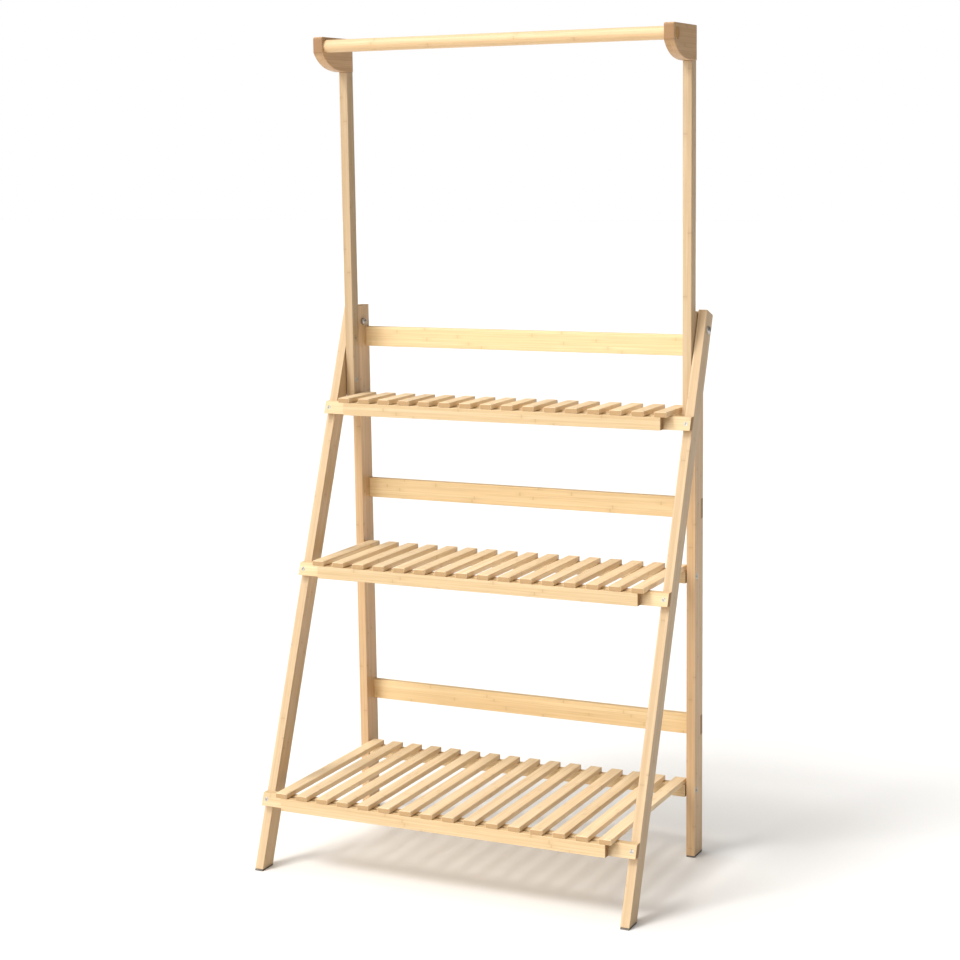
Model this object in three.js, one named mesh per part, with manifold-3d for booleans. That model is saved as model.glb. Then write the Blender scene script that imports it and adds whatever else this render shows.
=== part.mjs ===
// Folding three-tier ladder shelf in bamboo, with a hanging rod above the top shelf.
//
// Millimetres, +Z up. The origin is on the floor at the centre of the footprint. +X is to the
// right for someone who faces the front, and +Y is the back.
//
// Two upright rear legs carry the back rails, the rod uprights and the three shelves, which turn
// on bolts at their rear corners. Two leaning front legs, joined by three crossbars, turn on a
// bolt at the top of the rear legs. Each shelf rests on a crossbar, and its apron hangs in front
// of that crossbar, which stops the legs from spreading. To fold, the shelves flip up between the
// rear legs and the front legs swing back beside them.

import * as THREE from 'three';
import { mergeVertices } from 'three/addons/utils/BufferGeometryUtils.js';
import Module from 'manifold-3d';

const wasm = await Module();
wasm.setup();

// ---------------------------------------------------------------- driving dimensions

const WIDTH = 700; // over the outer faces of the front legs
const DEPTH = 400; // from the front toes to the back of the rails
const HEIGHT = 1436; // top of the rod brackets

const BOARD = 16; // thickness of every post across X
const LEG_DEPTH = 32; // front legs, front to back
const REAR_LEG_DEPTH = 40;
const UPRIGHT_DEPTH = 22; // rod uprights, front to back
const WASHER = 1; // between a front leg and a rear leg
const EASE = 0.8; // chamfer on every wooden edge
const FIT = 0.3; // clearance round a fastener, and between turned pieces

const RAIL = { thickness: 12, height: 36 };
const RAIL_HEIGHTS = { top: 902, middle: 620, bottom: 234 }; // middle of each back rail

const SHELF_TOPS = { top: 801, middle: 523, bottom: 140 };
const SLAT = { count: 16, width: 22, thickness: 9 };
const SHELF_HALF_WIDTH = 313; // to the outer edge of the outermost slat
const SHELF_RAIL_HEIGHT = 22; // apron and rear rail below the slats
const APRON = { thickness: 12, halfLength: 303 };
const REAR_RAIL = { thickness: 15, halfLength: 315 };
const CROSSBAR_THICKNESS = 12;

const LEG_TOP = 960; // top of the rear legs
const FOLD_HEIGHT = 930; // bolt that joins the front and rear legs
const FOLD_Y = 174;
const TOE_ABOVE_FOLD = 32; // length of the front leg above that bolt
const SHELF_PIVOT_DROP = 18; // shelf bolt below the slat tops
const SHELF_PIVOT_Y = 168;
const PAD_THICKNESS = 3;

const UPRIGHT_FOOT = 786; // lower end of the rod uprights
const BRACKET = { thickness: 18, height: 58, reach: 88, nose: 22, corner: 5, belly: 22, flat: 6 };
const ROD = { radius: 11, y: 65, drop: 16 };
const TENON = { width: 8, depth: 12, length: 34 };
const UPRIGHT_BOLT_SPACING = 76; // between the two bolts of an upright
const ROUND_SEGMENTS = 24; // rod and the holes for it
const FASTENER_SEGMENTS = 12;
const OVERCUT = 1; // how far a cutting tool starts outside the face that it cuts

// ---------------------------------------------------------------- derived places

const FRONT_LEG_X = WIDTH / 2 - BOARD / 2;
const POST_X = WIDTH / 2 - BOARD - WASHER - BOARD / 2; // rear legs, uprights and brackets
const BACK_Y = DEPTH / 2;
const RAIL_FRONT_Y = BACK_Y - RAIL.thickness;
const REAR_LEG_FRONT_Y = BACK_Y - REAR_LEG_DEPTH;
const UPRIGHT_Y = REAR_LEG_FRONT_Y - UPRIGHT_DEPTH / 2;
const UPRIGHT_TOP = HEIGHT - BRACKET.height;
const ROD_Z = HEIGHT - ROD.drop;

// Where the middle of a front leg meets the floor, and how far it leans from upright. The toe is
// half the leg's slanted width in front of that point, so the lean is found by repetition.
const leanOf = (footY) => Math.atan2(FOLD_Y - footY, FOLD_HEIGHT);
let footY = -DEPTH / 2;
for (let step = 0; step < 20; step += 1) {
  footY = -DEPTH / 2 + LEG_DEPTH / 2 / Math.cos(leanOf(footY));
}
const LEAN = leanOf(footY);
const LEG_FACE = LEG_DEPTH / 2; // from the middle of a leg to its front face

const SIDES = { left: -1, right: 1 };
const LEVELS = Object.keys(SHELF_TOPS);

// ---------------------------------------------------------------- materials

const COLORS = {
  leg: 0xe6bd83,
  rail: 0xefcd8f,
  slat: 0xf3dcb0,
  upright: 0xe8c089,
  bracket: 0xc99763,
  rod: 0xeac48c,
  steel: 0x6a665f,
  pad: 0x5b5148,
};

function wood(color) {
  return new THREE.MeshStandardMaterial({ color, roughness: 0.5, metalness: 0 });
}

function steel() {
  return new THREE.MeshStandardMaterial({ color: COLORS.steel, roughness: 0.35, metalness: 1 });
}

function felt() {
  return new THREE.MeshStandardMaterial({ color: COLORS.pad, roughness: 0.95, metalness: 0 });
}

// ---------------------------------------------------------------- joining and cutting

// A closed geometry becomes a solid: shared corners are merged and flat triangles are dropped.
function toSolid(geometry) {
  const bare = geometry.index ? geometry.toNonIndexed() : geometry.clone();
  bare.deleteAttribute('normal');
  bare.deleteAttribute('uv');
  const merged = mergeVertices(bare, 1e-4);
  const index = merged.index.array;
  const triangles = [];
  for (let i = 0; i < index.length; i += 3) {
    const [a, b, c] = [index[i], index[i + 1], index[i + 2]];
    if (a !== b && b !== c && c !== a) {
      triangles.push(a, b, c);
    }
  }
  return new wasm.Manifold(new wasm.Mesh({
    numProp: 3,
    vertProperties: new Float32Array(merged.attributes.position.array),
    triVerts: new Uint32Array(triangles),
  }));
}

function toGeometry(solid) {
  const { vertProperties, triVerts } = solid.getMesh();
  const geometry = new THREE.BufferGeometry();
  geometry.setAttribute('position', new THREE.BufferAttribute(new Float32Array(vertProperties), 3));
  geometry.setIndex(new THREE.BufferAttribute(new Uint32Array(triVerts), 1));
  geometry.computeVertexNormals();
  return geometry;
}

function cut(geometry, tools) {
  let solid = toSolid(geometry);
  for (const tool of tools) {
    solid = solid.subtract(toSolid(tool));
  }
  return toGeometry(solid);
}

function join(geometries) {
  let solid = toSolid(geometries[0]);
  for (const geometry of geometries.slice(1)) {
    solid = solid.add(toSolid(geometry));
  }
  return toGeometry(solid);
}

// ---------------------------------------------------------------- basic shapes

// A board with chamfered edges, from one corner of its box to the other.
function board([x0, y0, z0], [x1, y1, z1]) {
  const halfX = (x1 - x0) / 2 - EASE;
  const halfY = (y1 - y0) / 2 - EASE;
  const outline = new THREE.Shape();
  outline.moveTo(-halfX, -halfY);
  outline.lineTo(halfX, -halfY);
  outline.lineTo(halfX, halfY);
  outline.lineTo(-halfX, halfY);
  outline.closePath();
  const geometry = new THREE.ExtrudeGeometry(outline, {
    depth: z1 - z0 - 2 * EASE,
    bevelThickness: EASE,
    bevelSize: EASE,
    bevelSegments: 1,
  });
  return geometry.translate((x0 + x1) / 2, (y0 + y1) / 2, z0 + EASE);
}

// A shape drawn in Y and Z, extruded along X and centred on x.
function slab(shape, thickness, x) {
  const geometry = new THREE.ExtrudeGeometry(shape, {
    depth: thickness,
    bevelEnabled: false,
    curveSegments: 8,
  });
  const yzx = new THREE.Matrix4().makeBasis(
    new THREE.Vector3(0, 1, 0),
    new THREE.Vector3(0, 0, 1),
    new THREE.Vector3(1, 0, 0),
  );
  return geometry.applyMatrix4(yzx).translate(x - thickness / 2, 0, 0);
}

function polygon(points) {
  return new THREE.Shape(points.map(([y, z]) => new THREE.Vector2(y, z)));
}

// Turns a geometry made along +Y so that it points along another axis from a given point.
function aim(geometry, from, direction) {
  const turn = new THREE.Quaternion().setFromUnitVectors(
    new THREE.Vector3(0, 1, 0),
    new THREE.Vector3(...direction),
  );
  return geometry.applyQuaternion(turn).translate(...from);
}

// A turned solid from a list of [radius, distance], which starts and ends on the axis.
function turned(profile, from, direction, segments = FASTENER_SEGMENTS) {
  const points = profile.map(([radius, distance]) => new THREE.Vector2(radius, distance));
  return aim(new THREE.LatheGeometry(points, segments), from, direction);
}

function rodAlong(radius, length, from, direction, segments = FASTENER_SEGMENTS) {
  const profile = [[0, 0], [radius, 0], [radius, length], [0, length]];
  return turned(profile, from, direction, segments);
}

// ---------------------------------------------------------------- fasteners

// A countersunk screw whose flat head starts at `from` and which runs along `direction`, and the
// hole that it needs.
function screw({ shank, head, length }, { from, direction }) {
  const taper = head - shank;
  const profile = [[0, 0], [head, 0], [shank, taper], [shank, length], [0, length]];
  return turned(profile, from, direction);
}

function screwHole({ shank, head, length }, { from, direction }) {
  const taper = head - shank;
  const profile = [
    [0, -FIT],
    [head + FIT, -FIT],
    [head + FIT, 0],
    [shank + FIT, taper],
    [shank + FIT, length + FIT],
    [0, length + FIT],
  ];
  return turned(profile, from, direction);
}

const WOOD_SCREW = { shank: 2, head: 4, length: 26 };
const SHORT_SCREW = { shank: 2, head: 4, length: 18 };
const PIVOT_SCREW = { shank: 3, head: 6, length: 36 };
const BOLT = { shank: 3, head: 5, headLength: 5, runout: 2 };
const FOLD_BOLT = { shank: 3.5, head: 7, headLength: 4, edge: 2 };
const FOLD_NUT = { radius: 6.5, length: 8, bore: 6, edge: 2 };
const FOLD_WASHER_RADIUS = 8;
const BARREL_NUT = { radius: 5, length: 13, inset: 12 };

// ---------------------------------------------------------------- the scene graph

const shelf = new THREE.Group();

// The front frame hangs from the fold bolts in a group of its own. Inside it the legs run
// straight down, and its turn leans them forward to the floor.
const frontFrame = new THREE.Group();
frontFrame.position.set(0, FOLD_Y, FOLD_HEIGHT);
frontFrame.rotation.x = -LEAN;
shelf.add(frontFrame);

function place(name, geometry, material, parent = shelf) {
  const mesh = new THREE.Mesh(geometry, material);
  mesh.name = name;
  parent.add(mesh);
}

// Height inside the front frame of a point at world height z and at y in front of the leg's middle.
function frontFrameZ(y, z) {
  return (z - FOLD_HEIGHT + y * Math.sin(LEAN)) / Math.cos(LEAN);
}

// World Y of a front leg's front face at world height z.
function frontLegFaceY(z) {
  return footY + z * Math.tan(LEAN) - LEG_FACE / Math.cos(LEAN);
}

// Fastener places that more than one piece needs.
const pivotScrew = (side, top) => ({
  from: [SIDES[side] * (POST_X + BOARD / 2), SHELF_PIVOT_Y, top - SHELF_PIVOT_DROP],
  direction: [-SIDES[side], 0, 0],
});
const railScrew = (side, z) => ({ from: [SIDES[side] * POST_X, BACK_Y, z], direction: [0, -1, 0] });
const uprightBolts = {
  upper: RAIL_HEIGHTS.top,
  lower: RAIL_HEIGHTS.top - UPRIGHT_BOLT_SPACING,
};
const barrelY = REAR_LEG_FRONT_Y - BARREL_NUT.inset;
const rodScrew = (side) => ({
  from: [SIDES[side] * POST_X, ROD.y, HEIGHT],
  direction: [0, 0, -1],
});
const bracketScrew = (side) => ({
  from: [SIDES[side] * POST_X, REAR_LEG_FRONT_Y, UPRIGHT_TOP + TENON.length / 2],
  direction: [0, -1, 0],
});

function uprightBoltHoles(side) {
  const x = SIDES[side] * POST_X;
  return Object.values(uprightBolts).flatMap((z) => {
    const from = [x, BACK_Y + OVERCUT, z];
    const shank = BACK_Y - barrelY + BARREL_NUT.radius + BOLT.runout;
    return [
      rodAlong(BOLT.shank + FIT, shank, from, [0, -1, 0]),
      rodAlong(BOLT.head + FIT, BOLT.headLength + FIT + OVERCUT, from, [0, -1, 0]),
    ];
  });
}

// ---------------------------------------------------------------- rear frame

function rearLeg(side) {
  const x = SIDES[side] * POST_X;
  const leg = board(
    [x - BOARD / 2, REAR_LEG_FRONT_Y, PAD_THICKNESS],
    [x + BOARD / 2, BACK_Y, LEG_TOP],
  );
  const laps = Object.values(RAIL_HEIGHTS).map((z) => new THREE.BoxGeometry(
    BOARD + 2 * OVERCUT,
    RAIL.thickness + OVERCUT,
    RAIL.height,
  ).translate(x, RAIL_FRONT_Y + (RAIL.thickness + OVERCUT) / 2, z));
  const screws = ['middle', 'bottom'].map((level) => railScrew(side, RAIL_HEIGHTS[level]));
  const pivots = LEVELS.map((level) => pivotScrew(side, SHELF_TOPS[level]));
  const foldHole = rodAlong(
    FOLD_BOLT.shank + FIT,
    BOARD + 2 * OVERCUT,
    [x - BOARD / 2 - OVERCUT, FOLD_Y, FOLD_HEIGHT],
    [1, 0, 0],
  );
  return cut(leg, [
    ...laps,
    foldHole,
    ...uprightBoltHoles(side),
    ...screws.map((at) => screwHole(WOOD_SCREW, at)),
    ...pivots.map((at) => screwHole(PIVOT_SCREW, at)),
  ]);
}

// The rails are lapped flush into the backs of the rear legs.
function backRail(level) {
  const z = RAIL_HEIGHTS[level];
  const halfLength = POST_X + BOARD / 2;
  const rail = board(
    [-halfLength, RAIL_FRONT_Y, z - RAIL.height / 2],
    [halfLength, BACK_Y, z + RAIL.height / 2],
  );
  const holes = Object.keys(SIDES).flatMap((side) => {
    if (level === 'top') {
      return uprightBoltHoles(side);
    }
    return [screwHole(WOOD_SCREW, railScrew(side, z))];
  });
  return cut(rail, holes);
}

function upright(side) {
  const x = SIDES[side] * POST_X;
  const post = board(
    [x - BOARD / 2, UPRIGHT_Y - UPRIGHT_DEPTH / 2, UPRIGHT_FOOT],
    [x + BOARD / 2, UPRIGHT_Y + UPRIGHT_DEPTH / 2, UPRIGHT_TOP],
  );
  const tenon = board(
    [x - TENON.width / 2, UPRIGHT_Y - TENON.depth / 2, UPRIGHT_TOP - 2 * EASE],
    [x + TENON.width / 2, UPRIGHT_Y + TENON.depth / 2, UPRIGHT_TOP + TENON.length],
  );
  const innerX = x - SIDES[side] * (BOARD / 2);
  const barrelHoles = Object.values(uprightBolts).map((z) => rodAlong(
    BARREL_NUT.radius + FIT,
    BARREL_NUT.length + FIT + OVERCUT,
    [innerX - SIDES[side] * OVERCUT, barrelY, z],
    [SIDES[side], 0, 0],
  ));
  return cut(join([post, tenon]), [
    ...uprightBoltHoles(side),
    ...barrelHoles,
    screwHole(SHORT_SCREW, bracketScrew(side)),
  ]);
}

function bracketOutline() {
  const backY = REAR_LEG_FRONT_Y;
  const frontY = backY - BRACKET.reach - UPRIGHT_DEPTH;
  const bottom = UPRIGHT_TOP;
  const shape = new THREE.Shape();
  shape.moveTo(backY, bottom);
  shape.lineTo(backY, HEIGHT);
  shape.lineTo(frontY + BRACKET.corner, HEIGHT);
  shape.quadraticCurveTo(frontY, HEIGHT, frontY, HEIGHT - BRACKET.corner);
  shape.lineTo(frontY, HEIGHT - BRACKET.nose - BRACKET.corner);
  const bellyEnd = backY - UPRIGHT_DEPTH - BRACKET.flat;
  shape.quadraticCurveTo(frontY + BRACKET.belly, bottom, bellyEnd, bottom);
  shape.closePath();
  return shape;
}

function rodBracket(side) {
  const x = SIDES[side] * POST_X;
  const rodHole = rodAlong(
    ROD.radius + FIT,
    BRACKET.thickness + 2 * OVERCUT,
    [x - BRACKET.thickness / 2 - OVERCUT, ROD.y, ROD_Z],
    [1, 0, 0],
    ROUND_SEGMENTS,
  );
  const mortiseTop = UPRIGHT_TOP + TENON.length + OVERCUT;
  const mortise = board(
    [x - TENON.width / 2 - FIT, UPRIGHT_Y - TENON.depth / 2 - FIT, UPRIGHT_TOP - OVERCUT],
    [x + TENON.width / 2 + FIT, UPRIGHT_Y + TENON.depth / 2 + FIT, mortiseTop],
  );
  return cut(slab(bracketOutline(), BRACKET.thickness, x), [
    rodHole,
    mortise,
    screwHole(SHORT_SCREW, rodScrew(side)),
    screwHole(SHORT_SCREW, bracketScrew(side)),
  ]);
}

function hangingRod() {
  const halfLength = POST_X + BRACKET.thickness / 2;
  const profile = [
    [0, 0],
    [ROD.radius - EASE, 0],
    [ROD.radius, EASE],
    [ROD.radius, 2 * halfLength - EASE],
    [ROD.radius - EASE, 2 * halfLength],
    [0, 2 * halfLength],
  ];
  const rod = turned(profile, [-halfLength, ROD.y, ROD_Z], [1, 0, 0], ROUND_SEGMENTS);
  return cut(rod, Object.keys(SIDES).map((side) => screwHole(SHORT_SCREW, rodScrew(side))));
}

// ---------------------------------------------------------------- front frame

function frontLeg(side) {
  const outline = polygon([
    [-LEG_FACE, frontFrameZ(-LEG_FACE, PAD_THICKNESS)],
    [LEG_FACE, frontFrameZ(LEG_FACE, PAD_THICKNESS)],
    [LEG_FACE, TOE_ABOVE_FOLD - EASE],
    [LEG_FACE - EASE, TOE_ABOVE_FOLD],
    [-LEG_FACE + EASE, TOE_ABOVE_FOLD],
    [-LEG_FACE, TOE_ABOVE_FOLD - EASE],
  ]);
  const x = SIDES[side] * FRONT_LEG_X;
  const holes = LEVELS.map((level) => crossbarScrew(side, level));
  return cut(slab(outline, BOARD, x), [
    rodAlong(FOLD_BOLT.shank + FIT, BOARD + 2 * OVERCUT, [x - BOARD / 2 - OVERCUT, 0, 0], [1, 0, 0]),
    ...holes.map((at) => screwHole(WOOD_SCREW, at)),
  ]);
}

// The crossbars lie on the front faces of the legs. Their upper and lower edges are cut level.
function crossbarScrew(side, level) {
  const y = -LEG_FACE - FIT - CROSSBAR_THICKNESS;
  const z = SHELF_TOPS[level] - SLAT.thickness - SHELF_RAIL_HEIGHT / 2;
  return { from: [SIDES[side] * FRONT_LEG_X, y, frontFrameZ(y, z)], direction: [0, 1, 0] };
}

function crossbar(level) {
  const back = -LEG_FACE - FIT;
  const front = back - CROSSBAR_THICKNESS;
  const upper = SHELF_TOPS[level] - SLAT.thickness - FIT;
  const lower = SHELF_TOPS[level] - SLAT.thickness - SHELF_RAIL_HEIGHT;
  const outline = polygon([
    [front, frontFrameZ(front, lower)],
    [back, frontFrameZ(back, lower)],
    [back, frontFrameZ(back, upper)],
    [front, frontFrameZ(front, upper)],
  ]);
  const places = Object.keys(SIDES).map((side) => crossbarScrew(side, level));
  return cut(slab(outline, WIDTH, 0), places.map((at) => screwHole(WOOD_SCREW, at)));
}

function frontPad(side) {
  const upper = PAD_THICKNESS - FIT;
  const outline = polygon([
    [-LEG_FACE, frontFrameZ(-LEG_FACE, 0)],
    [LEG_FACE, frontFrameZ(LEG_FACE, 0)],
    [LEG_FACE, frontFrameZ(LEG_FACE, upper)],
    [-LEG_FACE, frontFrameZ(-LEG_FACE, upper)],
  ]);
  return slab(outline, BOARD - 1, SIDES[side] * FRONT_LEG_X);
}

function rearPad(side) {
  const x = SIDES[side] * POST_X;
  return new THREE.BoxGeometry(BOARD - 1, REAR_LEG_DEPTH - 1, PAD_THICKNESS)
    .translate(x, BACK_Y - REAR_LEG_DEPTH / 2, PAD_THICKNESS / 2);
}

// ---------------------------------------------------------------- shelves

// The apron hangs just in front of the lower edge of its crossbar.
function apronFrontY(level) {
  const lower = SHELF_TOPS[level] - SLAT.thickness - SHELF_RAIL_HEIGHT;
  const crossbarDepth = (CROSSBAR_THICKNESS + 2 * FIT) / Math.cos(LEAN);
  return frontLegFaceY(lower) - crossbarDepth - FIT - APRON.thickness;
}

function apron(level) {
  const frontY = apronFrontY(level);
  const upper = SHELF_TOPS[level] - SLAT.thickness;
  return board(
    [-APRON.halfLength, frontY, upper - SHELF_RAIL_HEIGHT],
    [APRON.halfLength, frontY + APRON.thickness, upper],
  );
}

// The slats are glued to the rear rail, which turns on the two shelf bolts.
function slatPanel(level) {
  const top = SHELF_TOPS[level];
  const upper = top - SLAT.thickness;
  const railBackY = SHELF_PIVOT_Y + REAR_RAIL.thickness / 2;
  const rail = board(
    [-REAR_RAIL.halfLength, railBackY - REAR_RAIL.thickness, upper - SHELF_RAIL_HEIGHT],
    [REAR_RAIL.halfLength, railBackY, upper + EASE],
  );
  const pitch = (2 * SHELF_HALF_WIDTH - SLAT.width) / (SLAT.count - 1);
  const slats = [];
  for (let i = 0; i < SLAT.count; i += 1) {
    const x = -SHELF_HALF_WIDTH + i * pitch;
    slats.push(board([x, apronFrontY(level), upper], [x + SLAT.width, railBackY, top]));
  }
  const places = Object.keys(SIDES).map((side) => pivotScrew(side, top));
  return cut(join([rail, ...slats]), places.map((at) => screwHole(PIVOT_SCREW, at)));
}

// ---------------------------------------------------------------- bolts, nuts and washers

function foldBolt(side) {
  const { shank, head, headLength, edge } = FOLD_BOLT;
  const headX = WIDTH / 2 + headLength;
  const shankEnd = headLength + 2 * BOARD + WASHER + FOLD_NUT.bore - FIT;
  const profile = [
    [0, 0],
    [head - edge, 0],
    [head, edge],
    [head, headLength],
    [shank, headLength],
    [shank, shankEnd],
    [0, shankEnd],
  ];
  const from = [SIDES[side] * headX, FOLD_Y, FOLD_HEIGHT];
  return turned(profile, from, [-SIDES[side], 0, 0]);
}

function foldNut(side) {
  const { radius, length, bore, edge } = FOLD_NUT;
  const inner = FOLD_BOLT.shank + FIT;
  const profile = [
    [0, bore],
    [inner, bore],
    [inner, 0],
    [radius, 0],
    [radius, length - edge],
    [radius - edge, length],
    [0, length],
  ];
  const from = [SIDES[side] * (POST_X - BOARD / 2), FOLD_Y, FOLD_HEIGHT];
  return turned(profile, from, [-SIDES[side], 0, 0]);
}

function foldWasher(side) {
  const inner = FOLD_BOLT.shank + FIT;
  const outer = FOLD_WASHER_RADIUS;
  const profile = [[inner, 0], [outer, 0], [outer, WASHER], [inner, WASHER], [inner, 0]];
  const from = [SIDES[side] * (POST_X + BOARD / 2), FOLD_Y, FOLD_HEIGHT];
  return turned(profile, from, [SIDES[side], 0, 0]);
}

function uprightBolt(side, which) {
  const length = BACK_Y - barrelY + BARREL_NUT.radius - FIT;
  const profile = [
    [0, 0],
    [BOLT.head, 0],
    [BOLT.head, BOLT.headLength],
    [BOLT.shank, BOLT.headLength],
    [BOLT.shank, length],
    [0, length],
  ];
  return turned(profile, [SIDES[side] * POST_X, BACK_Y, uprightBolts[which]], [0, -1, 0]);
}

function barrelNut(side, which) {
  const z = uprightBolts[which];
  const x = SIDES[side] * POST_X;
  const innerX = x - SIDES[side] * (BOARD / 2);
  const barrel = rodAlong(
    BARREL_NUT.radius,
    BARREL_NUT.length,
    [innerX, barrelY, z],
    [SIDES[side], 0, 0],
  );
  const threadLength = BACK_Y - barrelY + 2 * BARREL_NUT.radius;
  const thread = rodAlong(BOLT.shank + FIT, threadLength, [x, BACK_Y, z], [0, -1, 0]);
  return cut(barrel, [thread]);
}

// ---------------------------------------------------------------- assembly

for (const side of Object.keys(SIDES)) {
  place(`rear_leg_${side}`, rearLeg(side), wood(COLORS.leg));
  place(`upright_${side}`, upright(side), wood(COLORS.upright));
  place(`rod_bracket_${side}`, rodBracket(side), wood(COLORS.bracket));
  place(`foot_pad_rear_${side}`, rearPad(side), felt());
  place(`front_leg_${side}`, frontLeg(side), wood(COLORS.leg), frontFrame);
  place(`foot_pad_front_${side}`, frontPad(side), felt(), frontFrame);

  place(`fold_bolt_${side}`, foldBolt(side), steel());
  place(`fold_nut_${side}`, foldNut(side), steel());
  place(`fold_washer_${side}`, foldWasher(side), steel());
  for (const which of Object.keys(uprightBolts)) {
    place(`upright_bolt_${which}_${side}`, uprightBolt(side, which), steel());
    place(`barrel_nut_${which}_${side}`, barrelNut(side, which), steel());
  }
  for (const level of ['middle', 'bottom']) {
    const at = railScrew(side, RAIL_HEIGHTS[level]);
    place(`rail_screw_${level}_${side}`, screw(WOOD_SCREW, at), steel());
  }
  for (const level of LEVELS) {
    const pivot = pivotScrew(side, SHELF_TOPS[level]);
    place(`shelf_pivot_screw_${level}_${side}`, screw(PIVOT_SCREW, pivot), steel());
    const bar = crossbarScrew(side, level);
    place(`crossbar_screw_${level}_${side}`, screw(WOOD_SCREW, bar), steel(), frontFrame);
  }
  place(`bracket_screw_${side}`, screw(SHORT_SCREW, bracketScrew(side)), steel());
  place(`rod_screw_${side}`, screw(SHORT_SCREW, rodScrew(side)), steel());
}

place('hanging_rod', hangingRod(), wood(COLORS.rod));

for (const level of LEVELS) {
  place(`back_rail_${level}`, backRail(level), wood(COLORS.rail));
  place(`crossbar_${level}`, crossbar(level), wood(COLORS.rail), frontFrame);
  place(`shelf_slats_${level}`, slatPanel(level), wood(COLORS.slat));
  place(`shelf_apron_${level}`, apron(level), wood(COLORS.rail));
}

export default shelf;
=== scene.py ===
# Folding three-tier bamboo ladder shelf with a hanging rod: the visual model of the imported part.
#
# Lengths in the constants are millimetres. Every piece is built in a frame of its own whose X runs
# along the grain, so the bamboo's fibres follow the board, and is then set in place in metres.

import math
import random

import bmesh
import bpy
from mathutils import Matrix, Vector


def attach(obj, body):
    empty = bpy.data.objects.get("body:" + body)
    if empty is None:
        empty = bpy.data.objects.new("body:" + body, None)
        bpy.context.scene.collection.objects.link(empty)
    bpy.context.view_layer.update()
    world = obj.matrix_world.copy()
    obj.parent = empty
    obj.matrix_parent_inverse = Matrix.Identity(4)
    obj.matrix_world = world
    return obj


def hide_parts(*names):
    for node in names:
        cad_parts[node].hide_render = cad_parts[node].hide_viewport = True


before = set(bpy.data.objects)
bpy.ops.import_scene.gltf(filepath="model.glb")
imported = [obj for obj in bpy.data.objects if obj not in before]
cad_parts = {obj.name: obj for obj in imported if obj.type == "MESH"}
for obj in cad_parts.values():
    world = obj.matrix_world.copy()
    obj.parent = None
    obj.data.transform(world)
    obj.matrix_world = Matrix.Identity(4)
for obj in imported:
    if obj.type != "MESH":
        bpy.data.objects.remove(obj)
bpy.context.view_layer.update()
dice = random.Random(7)

MM = 0.001

# ---------------------------------------------------------------- dimensions

WIDTH, DEPTH, HEIGHT = 700, 400, 1436
BOARD = 16
LEG_DEPTH = 32
REAR_LEG_DEPTH = 40
UPRIGHT_DEPTH = 22
WASHER = 1
FIT = 0.3
PAD = 3
RAIL_THICKNESS, RAIL_HEIGHT = 12, 36
RAIL_HEIGHTS = {"top": 902, "middle": 620, "bottom": 234}
SCREWED_RAILS = ("middle", "bottom")  # the upper upright bolts hold the top one
SHELF_TOPS = {"top": 801, "middle": 523, "bottom": 140}
SLAT_COUNT, SLAT_WIDTH, SLAT_THICKNESS = 16, 22, 9
SHELF_HALF_WIDTH = 313
SHELF_RAIL_HEIGHT = 22
APRON_THICKNESS, APRON_HALF = 12, 303
REAR_RAIL_THICKNESS, REAR_RAIL_HALF = 15, 315
CROSSBAR_THICKNESS = 12
LEG_TOP = 960
FOLD_HEIGHT = 930
FOLD_Y = 174
LEG_ABOVE_FOLD = 32
SHELF_PIVOT_DROP, SHELF_PIVOT_Y = 18, 168
UPRIGHT_FOOT = 786
BRACKET_THICKNESS, BRACKET_HEIGHT, BRACKET_REACH = 18, 58, 88
BRACKET_NOSE, BRACKET_CORNER, BRACKET_BELLY, BRACKET_FLAT = 22, 5, 22, 6
ROD_RADIUS, ROD_Y, ROD_DROP, ROD_SIDES = 11, 65, 16, 64
CORNER_STEPS, BELLY_STEPS = 5, 14
TENON_LENGTH = 34
UPRIGHT_BOLT_SPACING = 76
WOOD_SCREW = {"shank": 2, "head": 4, "length": 26}
SHORT_SCREW = {"shank": 2, "head": 4, "length": 18}
PIVOT_SCREW = {"shank": 3, "head": 6, "length": 36}
BOLT_SHANK, BOLT_HEAD, BOLT_HEAD_LENGTH = 3, 5, 5
FOLD_SHANK, FOLD_HEAD, FOLD_HEAD_LENGTH = 3.5, 7, 4
NUT_RADIUS, NUT_LENGTH, NUT_BORE = 6.5, 8, 6
WASHER_RADIUS = 8
BARREL_RADIUS, BARREL_LENGTH, BARREL_INSET = 5, 13, 12

BOARD_EASE = 1.0
CROSSBAR_EASE = 0.7
SLAT_EASE = 1.4
BRACKET_EASE = 1.3
NUT_EASE = 0.4
ROD_END_CHAMFER = 0.8
PAST_FACE = 1  # how far a cutter stands out of the face that it enters
PAST_BARREL = 2  # how far an upright bolt's hole runs on past its barrel nut

FRONT_LEG_X = WIDTH / 2 - BOARD / 2
POST_X = WIDTH / 2 - BOARD - WASHER - BOARD / 2
BACK_Y = DEPTH / 2
RAIL_FRONT_Y = BACK_Y - RAIL_THICKNESS
LEG_FRONT_Y = BACK_Y - REAR_LEG_DEPTH
UPRIGHT_Y = LEG_FRONT_Y - UPRIGHT_DEPTH / 2
UPRIGHT_TOP = HEIGHT - BRACKET_HEIGHT
ROD_Z = HEIGHT - ROD_DROP
LEG_FACE = LEG_DEPTH / 2
BARREL_Y = LEG_FRONT_Y - BARREL_INSET
SLAT_PITCH = (2 * SHELF_HALF_WIDTH - SLAT_WIDTH) / (SLAT_COUNT - 1)
SIDES = {"left": -1, "right": 1}


def lean_of(foot):
    return math.atan2(FOLD_Y - foot, FOLD_HEIGHT)


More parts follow.
